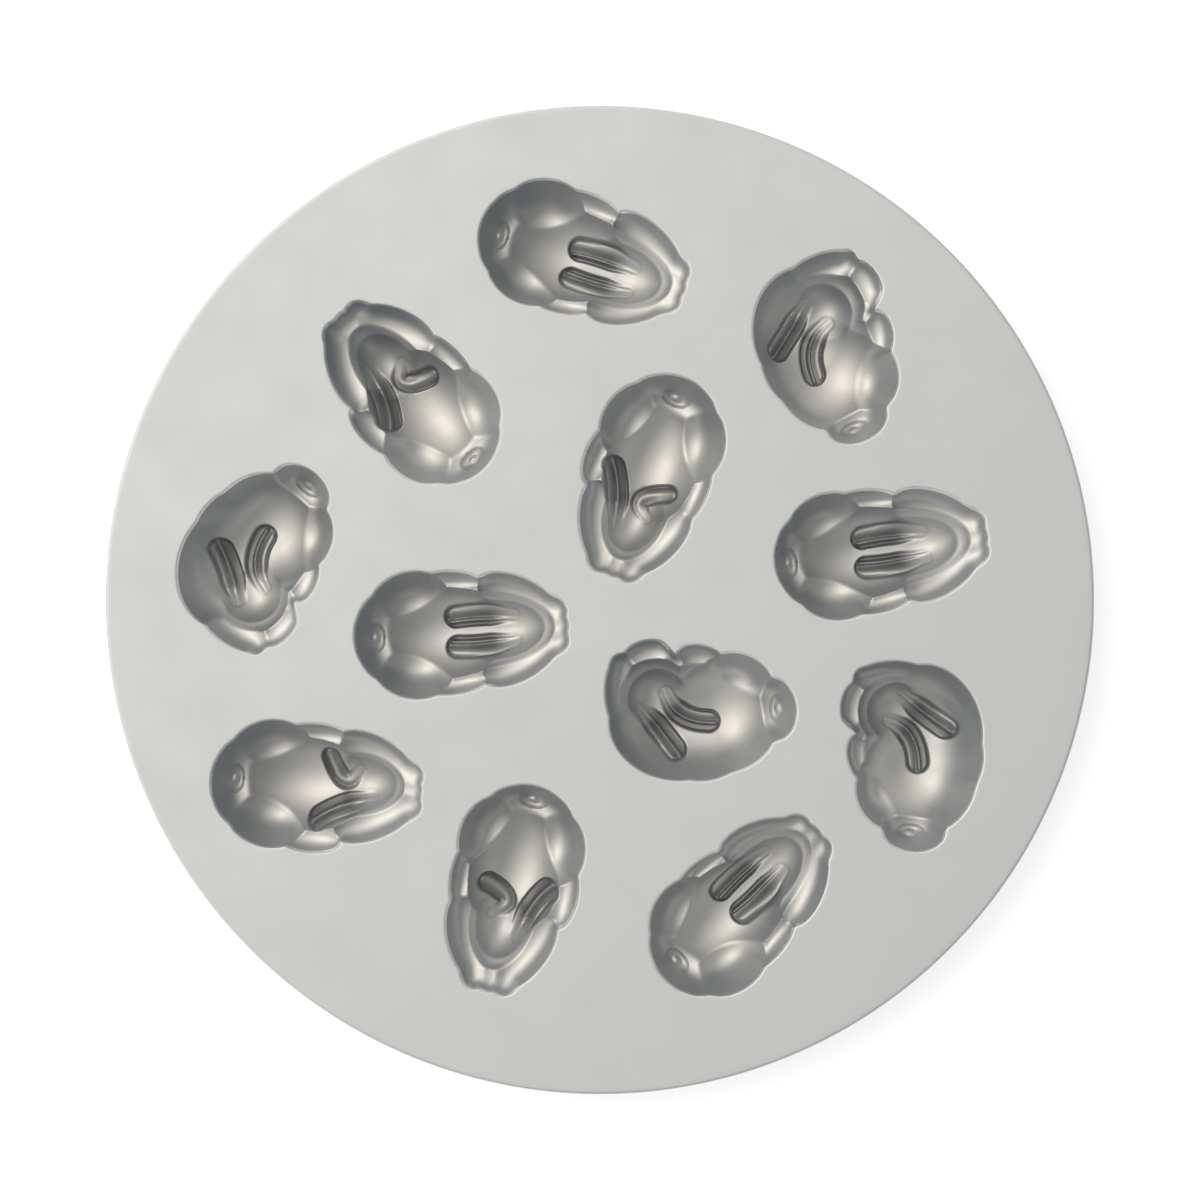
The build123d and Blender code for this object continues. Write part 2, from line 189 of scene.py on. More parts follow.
# A hollow: how closely it follows its side and its floor where they meet, how much faster its
# side falls further in, and the least depth of its floor
SIDE_FIT = 3.5
SIDE_FALL = 0.03
LEAST_DEPTH = 2.0
TINY = 1e-3
ALMOST_ZERO = 1e-6

# Steep metal in the cups gets the painted shade of their sides, and the plate's turned-down edge
# gets its painted highlight
# Where metal counts as steep: the step over which its rise is measured, the rises where steep
# starts and is full, and how far the plate has turned down where its edge starts and is full
SHORT_STEP = 0.05
STEEP_RISE = (0.4, 2.0)
EDGE_FALL = (0.05, 0.3)

# Floor of a lobe: half is an ellipsoid, less gives a flatter floor with steeper sides
ROUND_FLOOR = 0.5
FULL_FLOOR = 0.42
FLAT_FLOOR = 0.34
PEAKED_FLOOR = 1.0

# How fast the surface of a lobe rises outside its rim
OUTSIDE_RISE = 3.0

# Ears: the slope around the leaf, how it starts at its base, the two folds along it, and the
# straight pieces of its bend
EAR_EDGE = 1.2
EAR_START = 0.15
EAR_GROWTH = 0.45
FOLD_ROOM = (0.7, 1.7)
CREST_WIDTH = 0.55
CREST_SHARE = 0.9
ROLL_WIDTH = 1.35
ROLL_SHARE = 0.6
EAR_SPANS = 40

# Grids: points around a cup, rings of its hollow and of its outside, how much closer they lie
# towards its edge, rings of a mouth and those of them that are satin, and the plate's rim
AROUND = 384
HOLLOW_RINGS = 96
OUTSIDE_RINGS = 26
CLOSER_RINGS = 1.25
MOUTH_RINGS = 18
SATIN_RINGS = 12
RIM_AROUND = 720
RIM_STEPS = 8

# Search for where a surface last has a level: its range, its steps and how often one is halved
SEARCH_FROM = 6.0
SEARCH_TO = 50.0
SEARCH_STEP = 0.25
HALVINGS = 24

# Edges that turn by more than this stay sharp
SHARP_EDGE = math.radians(50)

# Patches on metal: the noise between these two numbers is used. Worn patches are so many times
# finer than those of the lightness and change the roughness by so large a share.
NOISE_RANGE = (0.3, 0.7)
PATCH_DETAIL = 3.0
WORN_DETAIL = 4.0
WORN_FINER = 3
WORN_SPREAD = 0.04

# The bright side of the sky, and how far it reaches: the cosines where it ends and is full
BRIGHT_SIDE = (-0.75, 0.45, 0.5)
SKY_TURNS = (-0.2, 0.85)

# The floor, the lamp and the nearest and farthest that the camera sees, in metres
WHITE = (1.0, 1.0, 1.0, 1.0)
FLOOR_COLOUR = (0.8, 0.8, 0.8, 1.0)
FLOOR_GLOW = 0.6
LAMP_SPOT = (-0.8, 0.5, 1.3)
LAMP_SIZE = 1.0
LAMP_TINT = (1.0, 0.96, 0.9)
SEEN_FROM = 0.01
SEEN_TO = 20.0


class Lobe(NamedTuple):
    """A rounded hollow that is an ellipse from above, in millimetres and degrees."""

    x: float
    y: float
    half_length: float
    half_width: float
    turn: float
    depth: float
    floor: float
    crease: float = LIMB_CREASE

    def mirrored(self):
        return self._replace(y=-self.y, turn=-self.turn)

    def grown(self, side, below):
        """The same lobe with metal added around and below it."""
        return self._replace(
            half_length=self.half_length + side,
            half_width=self.half_width + side,
            depth=self.depth + below,
        )


class Ear(NamedTuple):
    """A leaf along a bend from its base over its middle to the centre of its round tip. A sharp
    crest and a soft roll run along it, so many half widths to the left of the bend."""

    base: tuple
    middle: tuple
    tip: tuple
    base_half_width: float
    half_width: float
    crest: float
    roll: float

    def mirrored(self):
        flip = [(x, -y) for x, y in (self.base, self.middle, self.tip)]
        return Ear(*flip, self.base_half_width, self.half_width, -self.crest, -self.roll)


class Bunny(NamedTuple):
    """The lobes that make a bunny, the tufts that are added to their floor, and its ears."""

    trunk: list
    limbs: list
    tufts: list
    ears: list


def pair(item):
    """The same lobe or ear on both sides of the bunny."""
    return [item, item.mirrored()]


def haunches_and_tail(d):
    """The hind part of a bunny that lies straight."""
    return pair(Lobe(-13.4, 9.5, 13.0, 10.2, 10.0, d.haunch, ROUND_FLOOR, HAUNCH_CREASE)) + [
        Lobe(-24.6, 0.0, 7.1, 11.0, 0.0, d.tail, FLAT_FLOOR),
        Lobe(-21.0, 0.0, 10.4, 14.3, 0.0, d.tail, ROUND_FLOOR),
    ]


def tail_tufts(d, x, y, turn):
    """A pit at the end of the tail with a knob in its middle."""
    return [
        Lobe(x, y, 2.6, 4.6, turn, d.tuft, ROUND_FLOOR),
        Lobe(x, y, 1.1, 1.8, turn, -d.knob, PEAKED_FLOOR),
    ]


def straight_bunny(d):
    """Lies straight, with both ears laid back side by side."""
    return Bunny(
        trunk=[
            Lobe(-4.5, 0.0, 21.5, 14.6, 0.0, d.back, FULL_FLOOR),
            Lobe(11.4, 0.0, 17.2, 10.4, 0.0, d.head, FULL_FLOOR, HEAD_CREASE),
            Lobe(12.0, 0.0, 18.7, 12.4, 0.0, d.cheek, FLAT_FLOOR, CHEEK_CREASE),
        ],
        limbs=haunches_and_tail(d)
        + pair(Lobe(-0.8, 15.3, 10.2, 3.8, -5.0, d.foot, ROUND_FLOOR))
        + pair(Lobe(19.3, 9.2, 13.6, 6.7, -27.0, d.arm, FLAT_FLOOR))
        + pair(Lobe(29.4, 5.1, 5.3, 4.3, -24.0, d.paw, FLAT_FLOOR))
        + [Lobe(27.8, 0.0, 6.9, 6.0, 0.0, d.paw, FLAT_FLOOR)],
        tufts=tail_tufts(d, -26.0, 0.0, 0.0),
        ears=pair(Ear((17.0, 4.0), (8.0, 5.0), (-1.2, 4.8), 2.9, 4.1, 0.38, -0.4)),
    )


def folded_ear_bunny(d):
    """Lies straight with its head turned a little, one ear laid back and the other folded over."""
    return Bunny(
        trunk=[
            Lobe(-4.0, 0.0, 21.8, 14.8, 0.0, d.back, FULL_FLOOR),
            Lobe(13.0, 0.5, 13.2, 9.2, 0.0, d.head, FULL_FLOOR, HEAD_CREASE),
            Lobe(13.5, 0.5, 14.6, 10.8, 0.0, d.cheek, FLAT_FLOOR, CHEEK_CREASE),
        ],
        limbs=haunches_and_tail(d)
        + [
            Lobe(0.6, 15.0, 10.6, 4.3, -3.0, d.foot, ROUND_FLOOR),
            Lobe(-0.6, -15.8, 10.4, 4.9, -4.0, d.foot, ROUND_FLOOR),
            Lobe(18.6, 9.4, 13.4, 6.7, -26.0, d.arm, FLAT_FLOOR),
            Lobe(19.3, -8.8, 13.8, 6.6, 25.0, d.arm, FLAT_FLOOR),
            Lobe(26.8, 0.0, 6.9, 6.2, 0.0, d.paw, FLAT_FLOOR),
        ]
        + pair(Lobe(28.8, 5.0, 5.2, 4.4, -24.0, d.paw, FLAT_FLOOR)),
        tufts=tail_tufts(d, -26.0, 0.0, 0.0),
        ears=[
            Ear((17.0, -4.8), (8.0, -7.2), (0.8, -11.0), 2.9, 4.1, -0.05, 0.58),
            Ear((12.2, 4.2), (7.4, 0.9), (3.0, 7.8), 2.4, 3.6, 2.0, 0.1),
        ],
    )


def curled_bunny(d):
    """Lies curled to one side, so its back is one large bow."""
    return Bunny(
        trunk=[
            Lobe(-7.0, 0.5, 17.6, 17.4, 0.0, d.back, FULL_FLOOR),
            Lobe(3.0, 6.0, 18.5, 15.5, 0.0, d.back, ROUND_FLOOR, BODY_CREASE),
            Lobe(12.2, -0.2, 10.4, 10.6, 0.0, d.head, FULL_FLOOR, HEAD_CREASE),
            Lobe(12.8, -0.8, 12.0, 12.2, 0.0, d.cheek, FLAT_FLOOR, CHEEK_CREASE),
        ],
        limbs=[
            Lobe(-2.5, 2.5, 18.4, 18.6, 0.0, d.haunch, ROUND_FLOOR, HAUNCH_CREASE),
            Lobe(5.5, 7.0, 19.8, 16.0, 0.0, d.haunch, ROUND_FLOOR, HAUNCH_CREASE),
            Lobe(-9.8, -10.6, 12.0, 10.3, 0.0, d.haunch, FULL_FLOOR, HAUNCH_CREASE),
            Lobe(-8.5, -0.5, 17.6, 17.4, 0.0, d.haunch, ROUND_FLOOR, HAUNCH_CREASE),
            Lobe(-23.4, -6.8, 9.8, 6.8, -70.0, d.tail, FLAT_FLOOR),
            Lobe(2.2, -15.4, 8.0, 4.8, 0.0, d.foot, FLAT_FLOOR),
            Lobe(22.6, 0.8, 12.2, 6.0, -72.0, d.arm, FLAT_FLOOR),
            Lobe(25.4, -7.6, 4.0, 3.9, 0.0, d.paw, FLAT_FLOOR),
            Lobe(18.4, -12.6, 8.0, 5.0, 24.0, d.paw, FLAT_FLOOR),
            Lobe(10.5, -10.8, 4.6, 4.3, 0.0, d.paw, FLAT_FLOOR),
        ],
        tufts=tail_tufts(d, -25.4, -7.0, 18.0),
        ears=[
            Ear((15.6, 4.2), (9.0, 8.9), (2.2, 14.0), 2.9, 4.1, 0.0, -0.58),
            Ear((9.4, -2.2), (2.8, 2.8), (-6.0, 2.8), 2.9, 4.1, -0.15, 0.5),
        ],
    )


class Place(NamedTuple):
    """Where a cup's middle lies on the plate, and which way the bunny's head points."""

    x: float
    y: float
    heading: float
    flipped: bool

    def on_plate(self, points):
        """Points given round the middle of a bunny, moved to where it lies on the plate."""
        turn = math.radians(self.heading)
        v = -points[..., 1] if self.flipped else points[..., 1]
        x = self.x + points[..., 0] * math.cos(turn) - v * math.sin(turn)
        y = self.y + points[..., 0] * math.sin(turn) + v * math.cos(turn)
        return np.stack([x, y, points[..., 2]], axis=-1)


STRAIGHT_PLACES = {
    "cup_01": Place(-6.6, 106.4, -18.0, False),
    "cup_05": Place(85.3, 15.2, 8.0, False),
    "cup_07": Place(-44.2, -10.0, 4.0, False),
    "cup_12": Place(42.6, -94.8, 44.8, False),
}
FOLDED_EAR_PLACES = {
    "cup_03": Place(-57.7, 63.3, 133.0, True),
    "cup_04": Place(15.0, 38.9, 249.8, False),
    "cup_08": Place(-88.4, -57.3, -3.0, False),
    "cup_09": Place(-27.1, -88.1, 256.3, True),
}
CURLED_PLACES = {
    "cup_02": Place(70.5, 78.0, 95.0, False),
    "cup_06": Place(-105.8, 13.7, 252.3, True),
    "cup_10": Place(29.5, -34.2, 165.0, False),
    "cup_11": Place(96.6, -46.6, 106.8, True),
}
DESIGNS = {
    "straight": (straight_bunny, STRAIGHT_PLACES),
    "folded_ear": (folded_ear_bunny, FOLDED_EAR_PLACES),
    "curled": (curled_bunny, CURLED_PLACES),
}


def soft_max(values, softness):
    """The largest of several surfaces, with the creases between them rounded: the softness times
    the logarithm of the sum of the exponentials of each surface over the softness."""
    top = np.max(values, axis=0)
    spread = np.sum([np.exp((value - top) / softness) for value in values], axis=0)
    return top + softness * np.log(spread)


def join(a, b, crease):
    """The larger of two surfaces, rounded where they differ by less than the crease: a parabola
    is added that is a quarter of the crease high where they meet."""
    near = np.maximum(crease - np.abs(a - b), 0) / crease
    return np.maximum(a, b) + near * near * crease / 4


def join_lobes(lobes, x, y):
    """Depth of several lobes, joined one after another."""
    depth = dome(lobes[0], x, y)
    for lobe in lobes[1:]:
        depth = join(depth, dome(lobe, x, y), lobe.crease)
    return depth


def step_up(value, start, end):
    """Smooth step from 0 at the start to 1 at the end."""
    t = np.clip((value - start) / (end - start), 0, 1)
    return t * t * (3 - 2 * t)


def in_lobe(lobe, x, y):
    """Place within a lobe: how far along and how far across."""
    c = math.cos(math.radians(lobe.turn))
    s = math.sin(math.radians(lobe.turn))
    dx = x - lobe.x
    dy = y - lobe.y
    return dx * c + dy * s, dy * c - dx * s


def inside_by(lobe, x, y):
    """Distance inside the rim of a lobe, negative outside it: reach times (1 - reach), over how
    fast the reach grows. It is good near the rim."""
    along, across = in_lobe(lobe, x, y)
    reach = np.hypot(along / lobe.half_length, across / lobe.half_width)
    slope = np.hypot(along / lobe.half_length**2, across / lobe.half_width**2)
    return reach * (1 - reach) / np.maximum(slope, ALMOST_ZERO)


def reach_in(lobe, x, y):
    """The square of how far out a point lies in a lobe: 1 at its rim."""
    along, across = in_lobe(lobe, x, y)
    return (along / lobe.half_length) ** 2 + (across / lobe.half_width) ** 2


def bowl(lobe, reach):
    """A lobe's depth times (1 - reach squared) to the power of its floor, and 0 outside it."""
    return lobe.depth * np.maximum(1 - reach, 0) ** lobe.floor


def dome(lobe, x, y):
    """Depth of one lobe: a bowl within its rim, and outside it a gentle rise above the plate that
    grows with how far out a point lies."""
    reach = reach_in(lobe, x, y)
    return np.where(reach < 1, bowl(lobe, reach), OUTSIDE_RISE * (1 - np.sqrt(reach)))


def ear_depth(ear, raise_by, x, y):
    """Extra depth of an ear: a smooth step by how far inside the leaf a point lies, less at the
    base, and lessened by a sharp crest and a soft roll, each a bell curve across the leaf. The
    distance to the bend is the least over its short straight pieces."""
    base, middle, tip = (np.array(p) for p in (ear.base, ear.middle, ear.tip))
    control = 2 * middle - (base + tip) / 2
    t = np.linspace(0, 1, EAR_SPANS + 1)[:, None]
    bend = (1 - t) ** 2 * base + 2 * t * (1 - t) * control + t**2 * tip
    nearest = np.full(x.shape, np.inf)
    along = np.zeros(x.shape)
    side = np.zeros(x.shape)
    for i, (a, b) in enumerate(zip(bend[:-1], bend[1:])):
        ex, ey = b - a
        run = math.hypot(ex, ey)
        f = np.clip(((x - a[0]) * ex + (y - a[1]) * ey) / run**2, 0, 1)
        qx = x - a[0] - f * ex
        qy = y - a[1] - f * ey
        away = np.hypot(qx, qy)
        closer = away < nearest
        nearest = np.where(closer, away, nearest)
        along = np.where(closer, (i + f) / EAR_SPANS, along)
        side = np.where(closer, (ex * qy - ey * qx) / run, side)
    grown = step_up(along, 0.0, EAR_GROWTH)
    half_width = ear.base_half_width + (ear.half_width - ear.base_half_width) * grown
    edge = step_up(half_width - nearest, 0.0, EAR_EDGE)
    room = step_up(half_width - nearest, *FOLD_ROOM)
    crest = np.exp(-(((side - ear.crest * half_width) / CREST_WIDTH) ** 2))
    roll = np.exp(-(((side - ear.roll * half_width) / ROLL_WIDTH) ** 2))
    folds = np.maximum(CREST_SHARE * crest, ROLL_SHARE * roll) * room
    return raise_by * edge * (EAR_START + (1 - EAR_START) * grown) * (1 - folds)


def last_above(surface, level, turn):
    """How far from the middle a surface last has this level, at the given turns. The last step
    that is above the level is found first, and the place after it by halving."""
    steps = np.arange(SEARCH_FROM, SEARCH_TO, SEARCH_STEP)[:, None]
    high = surface(steps * np.cos(turn), steps * np.sin(turn)) > level
    near = np.max(np.where(high, steps, SEARCH_FROM), axis=0)
    far = near + SEARCH_STEP
    for _ in range(HALVINGS):
        middle = (near + far) / 2
        above = surface(middle * np.cos(turn), middle * np.sin(turn)) > level
        near = np.where(above, middle, near)
        far = np.where(above, far, middle)
    return near


class Outline:
    """The outline of a mouth: a radius for each turn around its middle. It goes round all lobes,
    its slope is held down where two lobes leave a notch, and it is smoothed a little."""

    def __init__(self, lobes):
        self.turn = np.linspace(0, math.tau, OUTLINE_TURNS, endpoint=False)
        radius = last_above(
            lambda x, y: np.max([inside_by(lobe, x, y) for lobe in lobes], axis=0), 0.0, self.turn
        )
        for shift in range(1, STEEPNESS_REACH):
            rise = 1 + OUTLINE_STEEPNESS * shift * math.tau / OUTLINE_TURNS
            radius = np.minimum(radius, np.roll(radius, shift) * rise)
            radius = np.minimum(radius, np.roll(radius, -shift) * rise)
        window = np.hanning(2 * OUTLINE_SMOOTHING + 3)[1:-1]
        around = np.concatenate([radius[-OUTLINE_SMOOTHING:], radius, radius[:OUTLINE_SMOOTHING]])
        self.radius = np.convolve(around, window / window.sum(), mode="valid")
        self.points = np.stack(
            [self.radius * np.cos(self.turn), self.radius * np.sin(self.turn)], axis=-1
        )

    def inside_by(self, x, y):
        """Distance inside the outline, negative outside it: the least distance to the short
        straight pieces of the outline that lie about the same way from the middle."""
        turn = np.mod(np.arctan2(y, x), math.tau)
        here = np.floor(turn * OUTLINE_TURNS / math.tau).astype(int)
        ahead = np.roll(self.points, -1, axis=0) - self.points
        nearest = np.full(x.shape, np.inf)
        for shift in range(-NEAR_PIECES, NEAR_PIECES + 1):
            piece = (here + shift) % OUTLINE_TURNS
            ex, ey = ahead[piece, 0], ahead[piece, 1]
            dx, dy = x - self.points[piece, 0], y - self.points[piece, 1]
            part = np.clip((dx * ex + dy * ey) / (ex * ex + ey * ey), 0, 1)
            nearest = np.minimum(nearest, (dx - part * ex) ** 2 + (dy - part * ey) ** 2)
        radius = np.interp(turn, self.turn, self.radius, period=math.tau)
        return np.where(np.hypot(x, y) < radius, 1, -1) * np.sqrt(nearest)


class Millimetres:
    """The sizes of a property group, in millimetres."""

    def __init__(self, group):
        self.group = group

    def __getattr__(self, name):
        return getattr(self.group, name) / MM


class Shapes:
    """The surfaces of one bunny design, as heights over the plate for arrays x and y."""

    def __init__(self, design, settings):
        self.sizes = Millimetres(settings.bunny_pan_sizes)
        self.depths = Millimetres(settings.bunny_pan_depths)
        self.slope = math.tan(settings.bunny_pan_sizes.wall_angle)
        self.bunny = design(self.depths)
        self.mouth = Outline(self.bunny.trunk + self.bunny.limbs)

    def ears(self, x, y):
        """Extra depth of the ears, the larger one where they meet."""
        return np.max([ear_depth(ear, self.depths.ear, x, y) for ear in self.bunny.ears], axis=0)

    def hollow(self, x, y):
        """Depth of the hollow, the smaller one of the side's depth and the floor's depth, rounded
        where they meet. The floor is its lobes joined, with the ears and tufts added, and the
        mouth has a soft edge."""
        bunny = self.bunny
        floor = join_lobes(bunny.trunk + bunny.limbs, x, y)
        floor = floor + self.ears(x, y)
        for tuft in bunny.tufts:
            floor = floor + bowl(tuft, reach_in(tuft, x, y))
        side = self.side(self.mouth.inside_by(x, y))
        depth = self.rounded(side, np.maximum(floor, LEAST_DEPTH))
        return soft_max([depth, np.zeros(depth.shape)], self.sizes.mouth_round)

    def side(self, inside):
        """Depth of the side: its slope times the distance inside the mouth, and a small share of
        that distance cubed, so that further in only the floor counts."""
        return self.slope * inside + SIDE_FALL * np.maximum(inside, 0) ** 3

    def rounded(self, side, floor):
        """The smaller depth of a side and a floor, rounded where they meet: one over the root of
        the sum of one over their powers. Outside the mouth it is the side's."""
        low = np.maximum(side, TINY)
        deep = np.maximum(floor, TINY)
        return np.where(side > TINY, (low**-SIDE_FIT + deep**-SIDE_FIT) ** (-1 / SIDE_FIT), side)

    def steepness(self, x, y):
        """1 where the hollow is steep and 0 where it is a gentle floor, from its rise over a
        short step each way."""
        here = self.hollow(x, y)
        along = self.hollow(x + SHORT_STEP, y) - here
        across = self.hollow(x, y + SHORT_STEP) - here
        return step_up(np.hypot(along, across) / SHORT_STEP, *STEEP_RISE)

    def outside(self, x, y):
        """Depth of the outside of the cup, found like the hollow's from lobes with metal added,
        and cut where the cup rests on a flat."""
        sizes = self.sizes
        below = self.depths.ear + sizes.floor_metal + sizes.crown_cut
        trunk = [lobe.grown(sizes.cup_wall, below) for lobe in self.bunny.trunk]
        limbs = [lobe.grown(sizes.cup_wall, sizes.cup_wall) for lobe in self.bunny.limbs]
        floor = join_lobes(trunk + limbs, x, y)
        inside = self.mouth.inside_by(x, y) + sizes.cup_wall
        depth = self.rounded(self.side(inside), np.maximum(floor, LEAST_DEPTH + sizes.cup_wall))
        return -soft_max([-depth, np.full(depth.shape, -PLATE_TOP)], REST_BLEND)

    def reach(self, surface, level):
        """How far from the middle a surface last has this level, at even turns around a cup."""
        return last_above(surface, level, np.linspace(0, math.tau, AROUND, endpoint=False))


def ring_points(radii, surface):
    """Points of a height surface on closed rings. A row of radii is one ring, at even turns."""
    turn = np.linspace(0, math.tau, radii.shape[1], endpoint=False)
    x = radii * np.cos(turn)
    y = radii * np.sin(turn)
    return np.stack([x, y, PLATE_TOP - surface(x, y)], axis=-1)


def ring_faces(first, rings, around):
    """Faces between neighbouring closed rings that follow one another in the list of points."""
    ring = first + np.arange(rings - 1)[:, None] * around
    here = np.arange(around)[None, :]
    there = (here + 1) % around
    return np.stack(
        [ring + here, ring + around + here, ring + around + there, ring + there], axis=-1
    ).reshape(-1, 4)


def cap_faces(pole, first, around, inward):
    """Three-cornered faces between a closed ring and one point at its middle."""
    here = first + np.arange(around)
    there = first + (np.arange(around) + 1) % around
    middle = np.full(around, pole)
    return np.stack([here, middle, there] if inward else [middle, here, there], axis=-1)


def make_mesh(name, points, face_groups, finishes, finish_of_group, of_points):
    """A smooth mesh object from points in millimetres and groups of faces. Each group of faces
    has its own number of corners and its own finish. Edges that turn sharply stay sharp. Each
    point also holds the named numbers that its finish uses."""
    mesh = bpy.data.meshes.new(name)
    mesh.vertices.add(len(points))
    mesh.vertices.foreach_set("co", (points * MM).astype(np.float32).ravel())
    corners = np.concatenate([group.ravel() for group in face_groups])
    counts = np.concatenate([np.full(len(group), group.shape[1]) for group in face_groups])
    starts = np.concatenate([[0], np.cumsum(counts)[:-1]])
    finish = np.concatenate([np.full(len(g), f) for g, f in zip(face_groups, finish_of_group)])
    mesh.loops.add(len(corners))
    mesh.loops.foreach_set("vertex_index", corners.astype(np.int32))
    mesh.polygons.add(len(counts))
    mesh.polygons.foreach_set("loop_start", starts.astype(np.int32))
    for material in finishes:
        mesh.materials.append(material)
    mesh.polygons.foreach_set("material_index", finish.astype(np.int32))
    mesh.update(calc_edges=True)
    if mesh.validate():
        raise RuntimeError(f"{name} has faulty faces")
    mesh.polygons.foreach_set("use_smooth", np.ones(len(counts), dtype=bool))
    mesh.set_sharp_from_angle(angle=SHARP_EDGE)
    for label, values in of_points.items():
        held = mesh.attributes.new(label, "FLOAT", "POINT")
        held.data.foreach_set("value", values.astype(np.float32))
    piece = bpy.data.objects.new(name, mesh)
    bpy.context.scene.collection.objects.link(piece)
    return piece


def cup_surface(shapes):
    """Points and faces of one closed cup around its own middle. One ring after another goes from
    the middle of the floor out to the mouth, over the flat edge, and down the outside to the
    middle of the underside."""
    under = PLATE_TOP - PLATE_UNDER
    mouth = shapes.reach(shapes.hollow, under)
    edge = shapes.reach(shapes.outside, under)
    spread = (np.arange(1, HOLLOW_RINGS + 1) / HOLLOW_RINGS)[:, None]
    spread = 1 - (1 - spread) ** CLOSER_RINGS
    inner = ring_points(spread * mouth, shapes.hollow)
    inner[..., 2] = np.minimum(inner[..., 2], PLATE_UNDER)
    inner[-1, :, 2] = PLATE_UNDER
    shrink = (np.arange(OUTSIDE_RINGS) / OUTSIDE_RINGS)[:, None]
    shrink = 1 - shrink**CLOSER_RINGS
    outer = ring_points(shrink * edge, shapes.outside)
    outer[..., 2] = np.minimum(outer[..., 2], PLATE_UNDER)
    outer[0, :, 2] = PLATE_UNDER
    middle = np.zeros((1, 1))
    floor = [0.0, 0.0, PLATE_TOP - float(shapes.hollow(middle, middle)[0, 0])]
    crown = [0.0, 0.0, PLATE_TOP - float(shapes.outside(middle, middle)[0, 0])]
    points = np.concatenate([inner.reshape(-1, 3), outer.reshape(-1, 3), [floor, crown]])
    of_points = {"painted_fold_shade": np.zeros(len(points)), "steepness": np.zeros(len(points))}
    # Painted shade: the share of an ear's extra depth, which darkens the colour in the ear's
    # grooves
    folds = shapes.ears(inner[..., 0], inner[..., 1]) / shapes.depths.ear
    of_points["painted_fold_shade"][: folds.size] = folds.ravel()
    # Painted shade: steepness picks the darker, cooler tint on the steep sides of a hollow
    of_points["steepness"][: folds.size] = shapes.steepness(inner[..., 0], inner[..., 1]).ravel()
    rings = HOLLOW_RINGS + OUTSIDE_RINGS
    last = (rings - 1) * AROUND
    groups = [
        ring_faces(0, HOLLOW_RINGS, AROUND),
        cap_faces(len(points) - 2, 0, AROUND, False),
        ring_faces(HOLLOW_RINGS * AROUND - AROUND, OUTSIDE_RINGS + 1, AROUND),
        cap_faces(len(points) - 1, last, AROUND, True),
    ]
    return points, groups, of_points


def turned_over(groups, flipped):
    """Faces for mirrored points, which go round the other way."""
    return [group[:, ::-1] for group in groups] if flipped else groups


def cup_piece(name, place, points, groups, of_points):
    """One cup in its place, standing for the frame's cup of the same name."""
    finishes = [bpy.data.materials["hollow_metal"], bpy.data.materials["cast_metal"]]
    piece = make_mesh(
        name + "_shell",
        place.on_plate(points),
        turned_over(groups, place.flipped),
        finishes,
        [0, 0, 1, 1],
        of_points,
    )
    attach(piece, BODY)
    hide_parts(name)


def mouth_strip(shapes):
    """Rings of one opening of the plate, from the flat around it down to its lower edge."""
    seam = shapes.reach(shapes.hollow, PLATE_TOP - PLATE_UNDER)
    flat = shapes.reach(shapes.mouth.inside_by, -shapes.sizes.mouth_reach)
    part = (np.arange(MOUTH_RINGS) / (MOUTH_RINGS - 1))[:, None]
    rings = ring_points(flat * (1 - part) + seam * part, shapes.hollow)
    rings[..., 2] = np.maximum(rings[..., 2], PLATE_UNDER)
    rings[0, :, 2] = PLATE_TOP
    rings[-1, :, 2] = PLATE_UNDER
    return rings


def rim_strip(rim_round):
    """Rings of the rim: out over the flat above, round its two quarter turns and in below."""
    quarter = np.linspace(0, math.pi / 2, RIM_STEPS)
    core = PLATE_RADIUS - rim_round
    drop = rim_round * (1 - np.cos(quarter))
    above = np.stack([core + rim_round * np.sin(quarter), PLATE_TOP - drop])
    below = np.stack([above[0, ::-1], PLATE_TOP + PLATE_UNDER - above[1, ::-1]])
    flat = np.array([[core - rim_round], [0.0]])
    top = flat + np.array([[0.0], [PLATE_TOP]])
    bottom = flat + np.array([[0.0], [PLATE_UNDER]])
    profile = np.concatenate([top, above, below, bottom], axis=1)
    turn = np.linspace(0, math.tau, RIM_AROUND, endpoint=False)
    radius = profile[0][:, None]
    height = np.broadcast_to(profile[1][:, None], (profile.shape[1], RIM_AROUND))
    return np.stack([radius * np.cos(turn), radius * np.sin(turn), height], axis=-1)


def inside_loop(loop, points):
    """Which points lie inside a closed line that a ray from its middle meets once."""
    middle = loop.mean(axis=0)
    turns = np.unwrap(np.arctan2(loop[:, 1] - middle[1], loop[:, 0] - middle[0]))
    if turns[-1] < turns[0]:
        loop = loop[::-1]
    ahead = np.roll(loop, -1, axis=0)
    inside = np.zeros(len(points), dtype=bool)
    for (x1, y1), (x2, y2) in zip(loop, ahead):
        spans = (points[:, 1] < y1) != (points[:, 1] < y2)
        crossing = x1 + (points[:, 1] - y1) * (x2 - x1) / ((y2 - y1) or 1.0)
        inside ^= spans & (points[:, 0] < crossing)
    return inside


def flat_fill(rim, mouths):
    """Triangles that fill the flat between the rim and the mouths, facing up. The corners are
    numbered through the rim's line first and then through each mouth's."""
    lines = [rim] + mouths
    starts = np.cumsum([0] + [len(line) for line in lines])
    edges = []
    for start, line in zip(starts, lines):
        here = np.arange(len(line))
        edges += np.stack([start + here, start + (here + 1) % len(line)], axis=-1).tolist()
    corners = np.concatenate(lines)
    found = delaunay_2d_cdt([Vector(p) for p in corners.tolist()], edges, [], 0, ALMOST_ZERO)
    if len(found[0]) != len(corners):
        raise RuntimeError("the plate's lines cross one another")
    faces = np.array(found[2])
    centres = corners[faces].mean(axis=1)
    in_hole = np.zeros(len(faces), dtype=bool)
    for line in mouths:
        in_hole |= inside_loop(line, centres)
    return faces[~in_hole]


